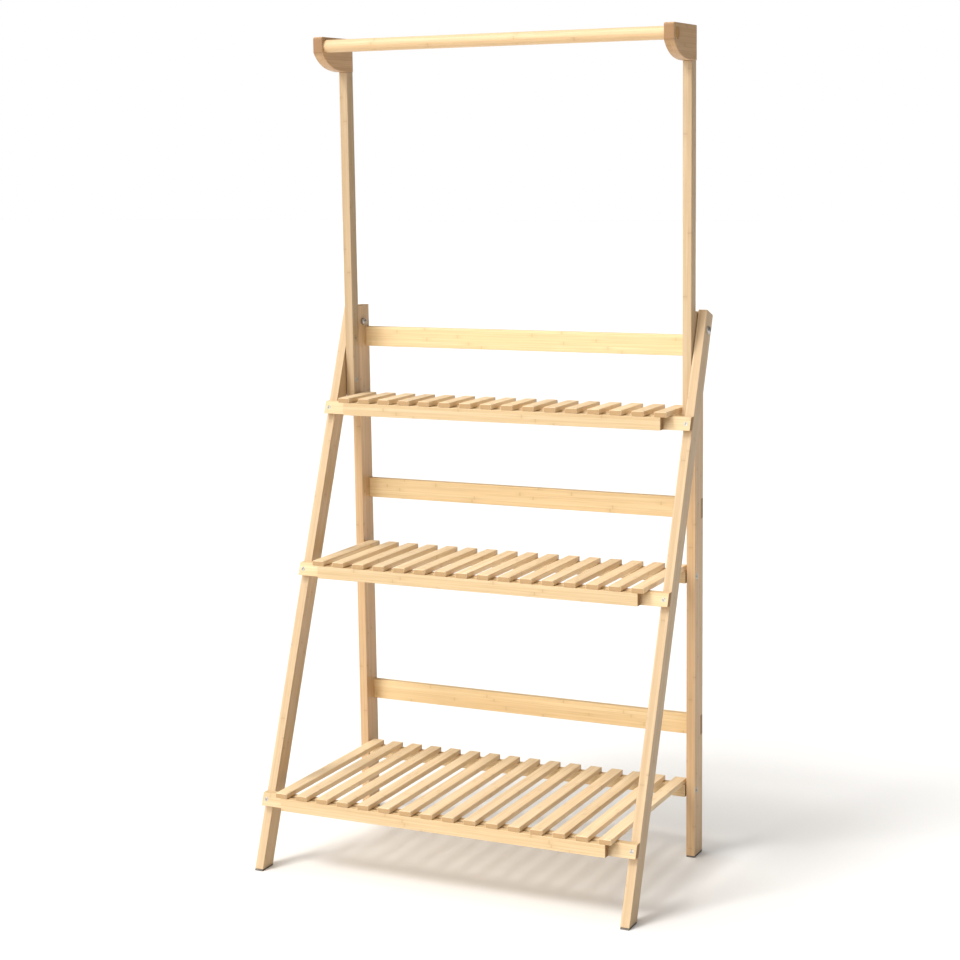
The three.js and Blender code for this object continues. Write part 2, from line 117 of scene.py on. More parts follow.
# A leg's middle line meets the floor at foot_y, with the leg's front face on the footprint's front
# edge. The lean depends on foot_y in turn, so both are found in a few rounds.
ROUNDS = 20
foot_y = -DEPTH / 2
for _ in range(ROUNDS):
    foot_y = -DEPTH / 2 + LEG_FACE / math.cos(lean_of(foot_y))
LEAN = lean_of(foot_y)


def front_frame_z(y, z):
    """How far up the leaning frame from the fold bolt, at its own y, the world height z lies."""
    return (z - FOLD_HEIGHT + y * math.sin(LEAN)) / math.cos(LEAN)


def apron_front_y(level):
    lower = SHELF_TOPS[level] - SLAT_THICKNESS - SHELF_RAIL_HEIGHT
    leg_face = foot_y + lower * math.tan(LEAN) - LEG_FACE / math.cos(LEAN)
    return leg_face - (CROSSBAR_THICKNESS + 2 * FIT) / math.cos(LEAN) - FIT - APRON_THICKNESS


# ---------------------------------------------------------------- axes of a piece

def axes(x, y, z, at=(0, 0, 0)):
    """The matrix that sends a piece's own X, Y and Z to the given world directions."""
    turn = Matrix((x, y, z)).transposed().to_4x4()
    return Matrix.Translation(Vector(at) * MM) @ turn


def along_x(at):
    return axes((1, 0, 0), (0, 0, 1), (0, -1, 0), at)


def along_z(at):
    return axes((0, 0, 1), (0, 1, 0), (-1, 0, 0), at)


def along_y(at):
    return axes((0, -1, 0), (1, 0, 0), (0, 0, 1), at)


# The leaning frame: its own vertical runs up the front legs from the fold bolt.
LEANING = Matrix.Translation(Vector((0, FOLD_Y, FOLD_HEIGHT)) * MM) @ Matrix.Rotation(-LEAN, 4, "X")

# ---------------------------------------------------------------- meshes

SHARP = math.radians(25)  # a bend below this belongs to a curve
SMOOTH = math.radians(32)  # a bend above this is an edge of a turned piece
MERGE_DISTANCE = 1e-7  # metres


def mesh_from(points, faces, name):
    mesh = bpy.data.meshes.new(name)
    mesh.from_pydata([Vector(p) * MM for p in points], [], faces)
    mesh.update()
    return mesh


def prism(outline, low, high, swept="Z"):
    """A closed outline carried from low to high, along the piece's Z or along its X."""
    count = len(outline)
    flat = [(u, v, w) for w in (low, high) for u, v in outline]
    points = flat if swept == "Z" else [(w, u, v) for u, v, w in flat]
    faces = [tuple(reversed(range(count))), tuple(range(count, 2 * count))]
    for i in range(count):
        j = (i + 1) % count
        faces.append((i, j, count + j, count + i))
    return mesh_from(points, faces, "prism")


def block(length, width, thickness):
    x, y, z = length / 2, width / 2, thickness / 2
    return prism([(-x, -y), (x, -y), (x, y), (-x, y)], -z, z)


def eased(mesh, radius):
    """Rounds every real edge of a mesh, and leaves the small bends of a curve alone."""
    shape = bmesh.new()
    shape.from_mesh(mesh)
    bmesh.ops.recalc_face_normals(shape, faces=shape.faces)
    edges = [e for e in shape.edges if e.calc_face_angle(0) > SHARP]
    bmesh.ops.bevel(shape, geom=edges, offset=radius * MM, segments=3, profile=0.5, affect="EDGES")
    shape.to_mesh(mesh)
    shape.free()
    return mesh


def turned(profile, segments=32):
    """A solid of revolution about X from a list of (distance along X, radius)."""
    points = []
    rings = []
    for x, r in profile:
        if r == 0:
            rings.append([len(points)])
            points.append((x, 0, 0))
            continue
        rings.append(list(range(len(points), len(points) + segments)))
        for i in range(segments):
            a = 2 * math.pi * i / segments
            points.append((x, r * math.cos(a), r * math.sin(a)))
    faces = []
    for a, b in zip(rings, rings[1:]):
        for i in range(segments):
            j = (i + 1) % segments
            corners = [a[i % len(a)], a[j % len(a)], b[j % len(b)], b[i % len(b)]]
            kept = list(dict.fromkeys(corners))
            if len(kept) > 2:
                faces.append(tuple(kept))
    mesh = mesh_from(points, faces, "turned")
    shape = bmesh.new()
    shape.from_mesh(mesh)
    bmesh.ops.remove_doubles(shape, verts=shape.verts, dist=MERGE_DISTANCE)
    bmesh.ops.recalc_face_normals(shape, faces=shape.faces)
    shape.to_mesh(mesh)
    shape.free()
    return mesh


def loose(mesh, matrix):
    """A passing object for a boolean to work on."""
    thing = bpy.data.objects.new("loose", mesh)
    bpy.context.scene.collection.objects.link(thing)
    thing.matrix_world = matrix
    return thing


def combined(mesh, matrix, others, operation="DIFFERENCE"):
    """The mesh less, or joined with, the others, which are (mesh, matrix) pairs in world place."""
    if not others:
        return mesh
    target = loose(mesh, matrix)
    tools = [loose(tool, place) for tool, place in others]
    for tool in tools:
        step = target.modifiers.new("step", "BOOLEAN")
        step.object = tool
        step.operation = operation
        step.solver = "EXACT"
    bpy.context.view_layer.update()
    graph = bpy.context.evaluated_depsgraph_get()
    result = bpy.data.meshes.new_from_object(target.evaluated_get(graph))
    for thing in [target] + tools:
        bpy.data.objects.remove(thing)
    return result


def pointing(at, direction):
    """A matrix that sets a piece's origin at a place and turns its X to a world direction."""
    turn = Vector((1, 0, 0)).rotation_difference(Vector(direction)).to_matrix().to_4x4()
    return Matrix.Translation(Vector(at) * MM) @ turn


# ---------------------------------------------------------------- node helpers

class Nodes:
    """A short way to write a material's nodes."""

    def __init__(self, name):
        self.material = bpy.data.materials.new(name)
        self.material.use_nodes = True
        self.tree = self.material.node_tree
        self.shader = self.tree.nodes["Principled BSDF"]

    def put(self, socket, value):
        if isinstance(value, bpy.types.NodeSocket):
            self.tree.links.new(value, socket)
        else:
            socket.default_value = value

    def node(self, kind, out=0, settings=None, **inputs):
        made = self.tree.nodes.new(kind)
        for key, value in (settings or {}).items():
            setattr(made, key, value)
        for key, value in inputs.items():
            self.put(made.inputs[key.replace("_", " ")], value)
        return made.outputs[out]

    def math(self, operation, a, b=0.0, c=0.0):
        made = self.tree.nodes.new("ShaderNodeMath")
        made.operation = operation
        for socket, value in zip(made.inputs, (a, b, c)):
            self.put(socket, value)
        return made.outputs[0]

    def ramp(self, value, low, high, to_low=0.0, to_high=1.0):
        made = self.tree.nodes.new("ShaderNodeMapRange")
        for key, given in zip(("Value", "From Min", "From Max", "To Min", "To Max"),
                              (value, low, high, to_low, to_high)):
            self.put(made.inputs[key], given)
        return made.outputs[0]

    def mix(self, factor, a, b, blend="MIX"):
        made = self.tree.nodes.new("ShaderNodeMix")
        made.data_type = "RGBA"
        made.blend_type = blend
        self.put(made.inputs[0], factor)
        self.put(made.inputs[6], a)
        self.put(made.inputs[7], b)
        return made.outputs[2]

    def combine(self, x, y, z):
        made = self.tree.nodes.new("ShaderNodeCombineXYZ")
        for socket, value in zip(made.inputs, (x, y, z)):
            self.put(socket, value)
        return made.outputs[0]

    def split(self, vector):
        made = self.tree.nodes.new("ShaderNodeSeparateXYZ")
        self.put(made.inputs[0], vector)
        return tuple(made.outputs)

    def attribute(self, name, out="Vector"):
        return self.node("ShaderNodeAttribute", out=out, settings={"attribute_name": name})

    def noise(self, vector, scale, detail=2.0, roughness=0.5):
        return self.node("ShaderNodeTexNoise", Vector=vector, Scale=scale, Detail=detail,
                         Roughness=roughness)

    def white(self, value):
        return self.node("ShaderNodeTexWhiteNoise", settings={"noise_dimensions": "1D"}, W=value)

    def shade(self, **inputs):
        for key, value in inputs.items():
            self.put(self.shader.inputs[key.replace("_", " ")], value)
        return self.material


def solid(color, darker=1.0):
    """A colour with its alpha, darkened by a factor."""
    return tuple(c * darker for c in color) + (1,)


# Lengths in a material are metres.
STRIP = 0.0062  # width of one glued strip of bamboo
PLY = 0.008  # thickness of one glued layer
KNUCKLE_EVERY = 0.27  # distance between the joints of the cane
WHOLE_TURNS = 50.0  # keeps the count of knuckles positive and leaves its fraction as it is
STRIP_SHIFT, PLY_SHIFT = 3.7, 1.9  # how far the strips and layers of a board move with its tone
SEED_BY_PLY, SEED_BY_TONE, SECOND_SEED = 17.3, 91.0, 0.37


def strips(n, tone, y, z):
    """Two random numbers for each glued strip, and the seams between the strips."""
    across = n.math("DIVIDE", n.math("MULTIPLY_ADD", tone, STRIP_SHIFT, y), STRIP)
    layer = n.math("DIVIDE", n.math("MULTIPLY_ADD", tone, PLY_SHIFT, z), PLY)
    seed = n.math("MULTIPLY_ADD", n.math("FLOOR", layer), SEED_BY_PLY,
                  n.math("MULTIPLY_ADD", tone, SEED_BY_TONE, n.math("FLOOR", across)))
    from_middle = n.math("ABSOLUTE", n.math("SUBTRACT", n.math("FRACT", across), 0.5))
    seam = n.ramp(from_middle, 0.46, 0.50)
    return n.white(seed), n.white(n.math("ADD", seed, SECOND_SEED)), seam


def streaks(n, grain, tone, scale, detail, roughness, drift=0.0):
    """Noise stretched along the grain by its scale, which drifts from board to board."""
    x, y, z = (n.math("MULTIPLY", value, by) for value, by in zip(grain, scale))
    return n.noise(n.combine(x, y, n.math("MULTIPLY_ADD", tone, drift, z)), 1.0, detail, roughness)


def knuckles(n, x, offset, fibre):
    """Lines across the strips where the cane had its joints, and a soft halo beside each."""
    turn = n.math("DIVIDE", n.math("MULTIPLY_ADD", offset, KNUCKLE_EVERY, x), KNUCKLE_EVERY)
    part = n.math("FRACT", n.math("ADD", turn, WHOLE_TURNS))
    near = n.math("ABSOLUTE", n.math("SUBTRACT", part, 0.5))
    wobble = n.math("MULTIPLY_ADD", fibre, 0.006, near)
    return n.ramp(wobble, 0.004, 0.010, 1.0, 0.0), n.ramp(wobble, 0.010, 0.050, 0.55, 0.0)


def across_the_grain(n):
    """1 on faces that cut across the grain, 0 on faces beside it."""
    normal = n.node("ShaderNodeNewGeometry", out="Normal")
    local = n.node("ShaderNodeVectorTransform", Vector=normal,
                   settings={"vector_type": "NORMAL", "convert_from": "WORLD",
                             "convert_to": "OBJECT"})
    facing = n.tree.nodes.new("ShaderNodeVectorMath")
    facing.operation = "DOT_PRODUCT"
    n.put(facing.inputs[0], local)
    n.put(facing.inputs[1], n.attribute("along"))
    return n.ramp(n.math("ABSOLUTE", facing.outputs["Value"]), 0.72, 0.88)


def bamboo(name, light, dark, knuckle, end_grain, roughness=0.42):
    """Laminated bamboo: glued strips along X, with fibres, knuckles at other places in each strip,
    darker end grain and a satin coat that is worn at places."""
    n = Nodes(name)
    place = n.attribute("grain")
    grain = n.split(place)
    x, y, z = grain
    tone = n.attribute("tone", out="Fac")
    strip, strip_offset, seam = strips(n, tone, y, z)
    fibre = streaks(n, grain, tone, (5.0, 420.0, 420.0), 3.0, 0.6, drift=40.0)
    vein = streaks(n, grain, tone, (14.0, 1500.0, 1500.0), 1.0, 0.5)
    cloud = streaks(n, grain, tone, (3.0, 18.0, 1.0), 2.0, 0.5, drift=23.0)
    wear = streaks(n, grain, tone, (9.0, 60.0, 60.0), 4.0, 0.65)
    line, halo = knuckles(n, x, strip_offset, fibre)
    is_end = across_the_grain(n)

    base = n.mix(strip, solid(light), solid(dark))
    base = n.mix(n.ramp(cloud, 0.35, 0.75, 0.0, 0.5), base, solid(dark))
    base = n.mix(n.ramp(fibre, 0.40, 0.72, 0.0, 0.38), base, solid(knuckle))
    base = n.mix(n.ramp(vein, 0.56, 0.74, 0.0, 0.32), base, solid(knuckle))
    base = n.mix(n.math("MULTIPLY", halo, 0.26), base, solid(knuckle))
    base = n.mix(n.math("MULTIPLY", line, 0.30), base, solid(knuckle, 0.80))
    base = n.mix(n.math("MULTIPLY", seam, 0.30), base, solid(knuckle))
    whole = n.ramp(tone, 0.0, 1.0, 0.93, 1.06)
    base = n.mix(1.0, base, n.combine(whole, whole, whole), "MULTIPLY")
    pore = n.ramp(n.node("ShaderNodeTexVoronoi", Vector=place, Scale=1100.0), 0.15, 0.42, 0.55, 0.0)
    base = n.mix(is_end, base, n.mix(pore, solid(end_grain), solid(end_grain, 0.5)))

    gloss = n.math("ADD", n.ramp(wear, 0.3, 0.7, roughness - 0.07, roughness + 0.12),
                   n.ramp(fibre, 0.3, 0.7, -0.03, 0.05))
    gloss = n.math("MULTIPLY_ADD", is_end, 0.22, gloss)
    height = n.math("SUBTRACT", n.math("MULTIPLY_ADD", line, 0.5, n.math("MULTIPLY", fibre, 0.6)),
                    n.math("MULTIPLY", seam, 0.5))
    bump = n.node("ShaderNodeBump", Strength=0.22, Distance=0.0004, Height=height)
    return n.shade(Base_Color=base, Roughness=gloss, Normal=bump, Coat_Weight=0.08,
                   Coat_Roughness=0.30, Specular_IOR_Level=0.36)


def metal(name, color, roughness, marks):
    """Plated steel with fine turning marks and duller, darker patches."""
    n = Nodes(name)
    place = n.attribute("grain")
    patch = n.noise(place, 260.0, 3.0, 0.6)
    stretched = n.node("ShaderNodeMapping", Vector=place, Scale=(4200.0, 300.0, 300.0))
    rings = n.noise(stretched, 1.0, 1.0, 0.5)
    base = n.mix(n.ramp(patch, 0.35, 0.7), solid(color), solid(color, 0.62))
    gloss = n.math("ADD", n.ramp(patch, 0.3, 0.7, roughness - 0.06, roughness + 0.16),
                   n.ramp(rings, 0.3, 0.7, -0.04, 0.06))
    bump = n.node("ShaderNodeBump", Strength=marks, Distance=0.00015, Height=rings)
    return n.shade(Base_Color=base, Metallic=1.0, Roughness=gloss, Normal=bump)


def pad_rubber():
    """Matt anti-slip pad with a fine crumb and dust."""
    n = Nodes("pad_rubber")
    place = n.node("ShaderNodeTexCoord", out="Object")
    crumb = n.noise(place, 1400.0, 2.0, 0.6)
    dust = n.noise(place, 120.0, 3.0, 0.6)
    base = n.mix(n.ramp(crumb, 0.35, 0.65), (0.10, 0.085, 0.07, 1), (0.17, 0.15, 0.13, 1))
    base = n.mix(n.ramp(dust, 0.5, 0.75, 0.0, 0.4), base, (0.30, 0.27, 0.23, 1))
    bump = n.node("ShaderNodeBump", Strength=0.5, Distance=0.0003, Height=crumb)
    return n.shade(Base_Color=base, Roughness=n.ramp(dust, 0.3, 0.7, 0.78, 0.95), Normal=bump)


# The slats are the rails' bamboo painted lighter. Their grain and tone are the wood's own, and the
# extra lightness is painted light standing in for the light that falls on the slat tops.
SLAT_WOOD_PAINTED_LIGHT = bamboo("laminated_slat_painted_light", light=(0.91, 0.73, 0.49), dark=(0.82, 0.62, 0.38),
                   knuckle=(0.55, 0.34, 0.15), end_grain=(0.46, 0.29, 0.14))
RAIL_WOOD = bamboo("laminated_rail", light=(0.72, 0.55, 0.33), dark=(0.64, 0.46, 0.25),
                   knuckle=(0.44, 0.26, 0.11), end_grain=(0.34, 0.19, 0.08))
# The back rails are a lighter copy of the rail bamboo, in the same slot. The extra lightness is
# painted light that makes up for the shade of the shelves above falling on them.
BACK_RAIL_WOOD_PAINTED_LIGHT = bamboo("laminated_back_rail_painted_light", light=(0.84, 0.65, 0.38), dark=(0.77, 0.56, 0.30),
                        knuckle=(0.50, 0.32, 0.13), end_grain=(0.36, 0.21, 0.09))
POST_WOOD = bamboo("laminated_post", light=(0.60, 0.45, 0.28), dark=(0.51, 0.36, 0.205),
                   knuckle=(0.35, 0.21, 0.10), end_grain=(0.34, 0.20, 0.09))
# The rear legs are a lighter copy of the post bamboo, in the same slot. Their extra lightness over
# the front legs and uprights is painted light, not a different wood.
REAR_POST_WOOD_PAINTED_LIGHT = bamboo("laminated_rear_post_painted_light", light=(0.72, 0.51, 0.30), dark=(0.63, 0.42, 0.23),
                        knuckle=(0.40, 0.23, 0.10), end_grain=(0.34, 0.20, 0.09))
BRACKET_WOOD = bamboo("laminated_bracket", light=(0.61, 0.39, 0.21), dark=(0.51, 0.31, 0.155),
                      knuckle=(0.30, 0.17, 0.08), end_grain=(0.34, 0.19, 0.09))
ROD_WOOD = bamboo("turned_rod", light=(0.80, 0.59, 0.35), dark=(0.70, 0.48, 0.26),
                  knuckle=(0.46, 0.27, 0.12), end_grain=(0.42, 0.22, 0.07), roughness=0.38)
SCREW_METAL = metal("steel_screw", (0.42, 0.39, 0.34), roughness=0.34, marks=0.25)
BOLT_METAL = metal("steel_bolt", (0.52, 0.50, 0.47), roughness=0.28, marks=0.30)
BARREL_METAL = metal("steel_barrel", (0.50, 0.45, 0.36), roughness=0.36, marks=0.25)
PAD_RUBBER = pad_rubber()

WOOD_SLOTS = {
    SLAT_WOOD_PAINTED_LIGHT: "bamboo_slat",
    RAIL_WOOD: "bamboo_rail",
    BACK_RAIL_WOOD_PAINTED_LIGHT: "bamboo_rail",
    POST_WOOD: "bamboo_post",
    REAR_POST_WOOD_PAINTED_LIGHT: "bamboo_post",
    BRACKET_WOOD: "bamboo_bracket",
}

# ---------------------------------------------------------------- placing

def add(name, mesh, matrix, body, material, slot, *nodes, smooth=False):
    mesh.name = name
    count = len(mesh.vertices)
    tone = mesh.attributes.new("tone", "FLOAT", "POINT")
    tone.data.foreach_set("value", [dice.random()] * count)
    grain = mesh.attributes.new("grain", "FLOAT_VECTOR", "POINT")
    grain.data.foreach_set("vector", [c for v in mesh.vertices for c in v.co])
    along = mesh.attributes.new("along", "FLOAT_VECTOR", "POINT")
    along.data.foreach_set("vector", list(matrix.to_3x3() @ Vector((1, 0, 0))) * count)
    mesh.transform(matrix)
    mesh.materials.clear()
    mesh.materials.append(material)
    piece = bpy.data.objects.new(name, mesh)
    bpy.context.scene.collection.objects.link(piece)
    for face in mesh.polygons:
        face.use_smooth = True
    if smooth:
        mesh.set_sharp_from_angle(angle=SMOOTH)
    else:
        normals = piece.modifiers.new("flat_faces", "WEIGHTED_NORMAL")
        normals.weight = 100
    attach(piece, body)
    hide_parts(*nodes)
    return piece


def wooden(name, mesh, matrix, body, material, ease=BOARD_EASE, cutters=(), nodes=None):
    shaped = combined(eased(mesh, ease), matrix, cutters)
    return add(name, shaped, matrix, body, material, WOOD_SLOTS[material], *(nodes or [name]))


# ---------------------------------------------------------------- holes

def screw_hole(size, at, direction):
    head, shank, length = size["head"], size["shank"], size["length"]
    mesh = turned([(-PAST_FACE, 0), (-PAST_FACE, head + FIT), (0, head + FIT),
                   (head - shank, shank + FIT), (length + FIT, shank + FIT), (length + FIT, 0)])
    return mesh, pointing(at, direction)


def round_hole(radius, length, at, direction):
    mesh = turned([(-PAST_FACE, 0), (-PAST_FACE, radius + FIT), (length, radius + FIT),
                   (length, 0)])
    return mesh, pointing(at, direction)


def pivot_at(side, level):
    s = SIDES[side]
    at = (s * (POST_X + BOARD / 2), SHELF_PIVOT_Y, SHELF_TOPS[level] - SHELF_PIVOT_DROP)
    return at, (-s, 0, 0)


def rail_screw_at(side, level):
    return (SIDES[side] * POST_X, BACK_Y, RAIL_HEIGHTS[level]), (0, -1, 0)


def rod_screw_at(side):
    return (SIDES[side] * POST_X, ROD_Y, HEIGHT), (0, 0, -1)


def bracket_screw_at(side):
    return (SIDES[side] * POST_X, LEG_FRONT_Y, UPRIGHT_TOP + TENON_LENGTH / 2), (0, -1, 0)


def crossbar_screw_at(side, level):
    """Unlike the others, these screws lean with the front frame."""
    y = -LEG_FACE - FIT - CROSSBAR_THICKNESS
    z = SHELF_TOPS[level] - SLAT_THICKNESS - SHELF_RAIL_HEIGHT / 2
    local = Vector((SIDES[side] * FRONT_LEG_X, y, front_frame_z(y, z))) * MM
    at = (LEANING @ local) / MM
    return tuple(at), tuple(LEANING.to_3x3() @ Vector((0, 1, 0)))


UPRIGHT_BOLTS = {
    "upper": RAIL_HEIGHTS["top"],
    "lower": RAIL_HEIGHTS["top"] - UPRIGHT_BOLT_SPACING,
}


def upright_bolt_at(side, which):
    return (SIDES[side] * POST_X, BACK_Y, UPRIGHT_BOLTS[which]), (0, -1, 0)


def barrel_at(side, which):
    s = SIDES[side]
    return (s * (POST_X - BOARD / 2), BARREL_Y, UPRIGHT_BOLTS[which]), (s, 0, 0)


def fold_axis_at(side, distance):
    """The place on the fold axis at a distance from the middle of the shelf."""
    return SIDES[side] * distance, FOLD_Y, FOLD_HEIGHT


def upright_bolt_hole(side, which):
    """A stepped hole for the head and the shank, which runs on past the barrel nut."""
    head, shank = BOLT_HEAD + FIT, BOLT_SHANK + FIT
    step = BOLT_HEAD_LENGTH + FIT
    end = BACK_Y - BARREL_Y + BARREL_RADIUS + PAST_BARREL
    mesh = turned([(-PAST_FACE, 0), (-PAST_FACE, head), (step, head), (step, shank), (end, shank),
                   (end, 0)])
    return mesh, pointing(*upright_bolt_at(side, which))


def upright_bolt_holes(side):
    return [upright_bolt_hole(side, which) for which in UPRIGHT_BOLTS]


def fold_hole(side, outer_x):
    """The fold bolt's hole through a board whose outer face is at outer_x."""
    inwards = (-SIDES[side], 0, 0)
    return round_hole(FOLD_SHANK, BOARD + PAST_FACE, fold_axis_at(side, outer_x), inwards)


def rail_lap(side, height):
    """The notch in a rear leg's back that takes a back rail."""
    deep = RAIL_THICKNESS + PAST_FACE
    at = Vector((SIDES[side] * POST_X, RAIL_FRONT_Y + deep / 2, height)) * MM
    return block(BOARD + 2 * PAST_FACE, deep, RAIL_HEIGHT), Matrix.Translation(at)


# ---------------------------------------------------------------- fasteners

# A fastener's own X runs from the outer face of its head, at X = 0, to its tip. Recesses are
# (mesh, matrix) pairs that are cut into the head.

UNMOVED = Matrix.Identity(4)
BAR_TO_REACH = 0.42
SLOT_WIDTH = 1.2


def recessed(mesh, recess):
    return combined(mesh, UNMOVED, recess)


def hexagon(radius, low, high):
    outline = [(radius * math.cos(math.pi * i / 3), radius * math.sin(math.pi * i / 3))
               for i in range(6)]
    return prism(outline, low, high, swept="X")


def cross_recess(reach, deep):
    return [(block(2 * deep, 2 * reach, reach * BAR_TO_REACH), Matrix.Rotation(turn, 4, "X"))
            for turn in (math.pi / 4, 3 * math.pi / 4)]


def hex_recess(radius, deep):
    return [(hexagon(radius, -PAST_FACE, deep), UNMOVED)]


def slot_recess(reach, deep):
    return [(block(2 * deep, 2 * reach, SLOT_WIDTH), UNMOVED)]


def countersunk(size, recess):
    head, shank, length = size["head"], size["shank"], size["length"]
    rim_in, rim_down = 0.2, 0.25
    mesh = turned([(0, 0), (0, head - rim_in), (rim_down, head), (head - shank, shank),
                   (length, shank), (length, 0)])
    return recessed(mesh, recess)


def barrel_nut_mesh():
    rim = 0.3
    mesh = turned([(0, 0), (0, BARREL_RADIUS - rim), (rim, BARREL_RADIUS),
                   (BARREL_LENGTH, BARREL_RADIUS), (BARREL_LENGTH, 0)])
    return recessed(mesh, slot_recess(3.4, 1.0))


WOOD_SCREW_MESH = countersunk(WOOD_SCREW, cross_recess(2.3, 1.4))
SHORT_SCREW_MESH = countersunk(SHORT_SCREW, cross_recess(2.3, 1.4))
PIVOT_SCREW_MESH = countersunk(PIVOT_SCREW, hex_recess(2.6, 2.2))
BARREL_MESH = barrel_nut_mesh()


def bolt_mesh():
    """The flat-headed bolt of an upright, which ends in its barrel nut."""
    rim = 0.5
    length = BACK_Y - BARREL_Y + BARREL_RADIUS - FIT
    profile = [(0, 0), (0, BOLT_HEAD - rim), (rim, BOLT_HEAD), (BOLT_HEAD_LENGTH, BOLT_HEAD),
               (BOLT_HEAD_LENGTH, BOLT_SHANK), (length, BOLT_SHANK), (length, 0)]
    return recessed(turned(profile), hex_recess(2.9, 2.8))


def fold_bolt_mesh():
    """The fold bolt, with a button head that swells to its full radius."""
    end = FOLD_HEAD_LENGTH + 2 * BOARD + WASHER + NUT_BORE - FIT
    button = [(0, 0), (0, 3.4), (0.5, 4.9), (1.4, 6.1), (2.6, 6.8), (3.6, FOLD_HEAD)]
    shank = [(FOLD_HEAD_LENGTH, FOLD_HEAD), (FOLD_HEAD_LENGTH, FOLD_SHANK), (end, FOLD_SHANK),
             (end, 0)]
    return recessed(turned(button + shank), hex_recess(2.7, 2.4))


def fold_nut_mesh():
    """A hexagon nut with a domed cap, standing from X = 0."""
    nut = eased(hexagon(NUT_RADIUS, 0, 5.0), NUT_EASE)
    cap = turned([(4.0, 0), (4.0, 5.2), (5.6, 5.0), (6.9, 4.0), (7.7, 2.4), (NUT_LENGTH, 0)])
    return combined(nut, UNMOVED, [(cap, UNMOVED)], "UNION")


def washer_mesh():
    inner, outer = FOLD_SHANK + FIT, WASHER_RADIUS
    return turned([(0, inner), (0, outer), (WASHER, outer), (WASHER, inner), (0, inner)])


UPRIGHT_BOLT_MESH = bolt_mesh()
FOLD_BOLT_MESH = fold_bolt_mesh()
FOLD_NUT_MESH = fold_nut_mesh()
FOLD_WASHER_MESH = washer_mesh()


def fastener(name, mesh, at, direction, body, material):
    """Sets a fastener in place, turned about its axis at random as a driver leaves it."""
    twist = Matrix.Rotation(dice.uniform(0, math.pi), 4, "X")
    add(name, mesh.copy(), pointing(at, direction) @ twist, body, material, "steel", name,
        smooth=True)


# ---------------------------------------------------------------- rear frame

def bracket_outline():
    """Points (Y, Z) of the rod bracket, from its lower back corner round to its belly."""
    back, low = LEG_FRONT_Y, UPRIGHT_TOP
    front = back - BRACKET_REACH - UPRIGHT_DEPTH
    points = [(back, low), (back, HEIGHT)]

    def curve(start, control, end, steps):
        for i in range(steps + 1):
            t = i / steps
            points.append(tuple((1 - t) ** 2 * a + 2 * t * (1 - t) * b + t * t * c
                                for a, b, c in zip(start, control, end)))

    curve((front + BRACKET_CORNER, HEIGHT), (front, HEIGHT), (front, HEIGHT - BRACKET_CORNER),
          CORNER_STEPS)
    curve((front, HEIGHT - BRACKET_NOSE - BRACKET_CORNER), (front + BRACKET_BELLY, low),
          (back - UPRIGHT_DEPTH - BRACKET_FLAT, low), BELLY_STEPS)
    return points


def rear_leg(side):
    length = LEG_TOP - PAD
    holes = upright_bolt_holes(side)
    holes += [screw_hole(WOOD_SCREW, *rail_screw_at(side, level)) for level in SCREWED_RAILS]
    holes += [screw_hole(PIVOT_SCREW, *pivot_at(side, level)) for level in SHELF_TOPS]
    holes.append(fold_hole(side, POST_X + BOARD / 2))
    holes += [rail_lap(side, height) for height in RAIL_HEIGHTS.values()]
    place = along_z((SIDES[side] * POST_X, BACK_Y - REAR_LEG_DEPTH / 2, PAD + length / 2))
    wooden(f"rear_leg_{side}", block(length, REAR_LEG_DEPTH, BOARD), place, "rear_frame",
           REAR_POST_WOOD_PAINTED_LIGHT, cutters=holes)


def upright(side):
    length = UPRIGHT_TOP - UPRIGHT_FOOT
    holes = upright_bolt_holes(side)
    holes += [round_hole(BARREL_RADIUS, BARREL_LENGTH + FIT, *barrel_at(side, which))
              for which in UPRIGHT_BOLTS]
    place = along_z((SIDES[side] * POST_X, UPRIGHT_Y, UPRIGHT_FOOT + length / 2))
    wooden(f"upright_{side}", block(length, UPRIGHT_DEPTH, BOARD), place, "rear_frame", POST_WOOD,
           cutters=holes)


def rod_bracket(side):
    x, half = SIDES[side] * POST_X, BRACKET_THICKNESS / 2
    middle = (x, LEG_FRONT_Y - (BRACKET_REACH + UPRIGHT_DEPTH) / 2, HEIGHT - BRACKET_HEIGHT / 2)
    outline = [(y - middle[1], z - middle[2]) for y, z in bracket_outline()]
    holes = [round_hole(ROD_RADIUS, 2 * half + PAST_FACE, (x - half, ROD_Y, ROD_Z), (1, 0, 0)),
             screw_hole(SHORT_SCREW, *rod_screw_at(side)),
             screw_hole(SHORT_SCREW, *bracket_screw_at(side))]
    wooden(f"rod_bracket_{side}", prism(outline, -half, half),
           axes((0, 1, 0), (0, 0, 1), (1, 0, 0), middle), "rear_frame", BRACKET_WOOD,
           BRACKET_EASE, holes)


def rear_fasteners(side):
    s = SIDES[side]

    def put(name, mesh, at, direction, material=BOLT_METAL):
        fastener(f"{name}_{side}", mesh, at, direction, "rear_frame", material)

    put("rod_screw", SHORT_SCREW_MESH, *rod_screw_at(side), SCREW_METAL)
    put("bracket_screw", SHORT_SCREW_MESH, *bracket_screw_at(side), SCREW_METAL)
    for level in SCREWED_RAILS:
        put(f"rail_screw_{level}", WOOD_SCREW_MESH, *rail_screw_at(side, level), SCREW_METAL)
    for level in SHELF_TOPS:
        put(f"shelf_pivot_screw_{level}", PIVOT_SCREW_MESH, *pivot_at(side, level))
    for which in UPRIGHT_BOLTS:
        put(f"upright_bolt_{which}", UPRIGHT_BOLT_MESH, *upright_bolt_at(side, which))
        put(f"barrel_nut_{which}", BARREL_MESH, *barrel_at(side, which), BARREL_METAL)
    put("fold_bolt", FOLD_BOLT_MESH, fold_axis_at(side, WIDTH / 2 + FOLD_HEAD_LENGTH), (-s, 0, 0))
    put("fold_nut", FOLD_NUT_MESH, fold_axis_at(side, POST_X - BOARD / 2), (-s, 0, 0))
    put("fold_washer", FOLD_WASHER_MESH, fold_axis_at(side, POST_X + BOARD / 2), (s, 0, 0))


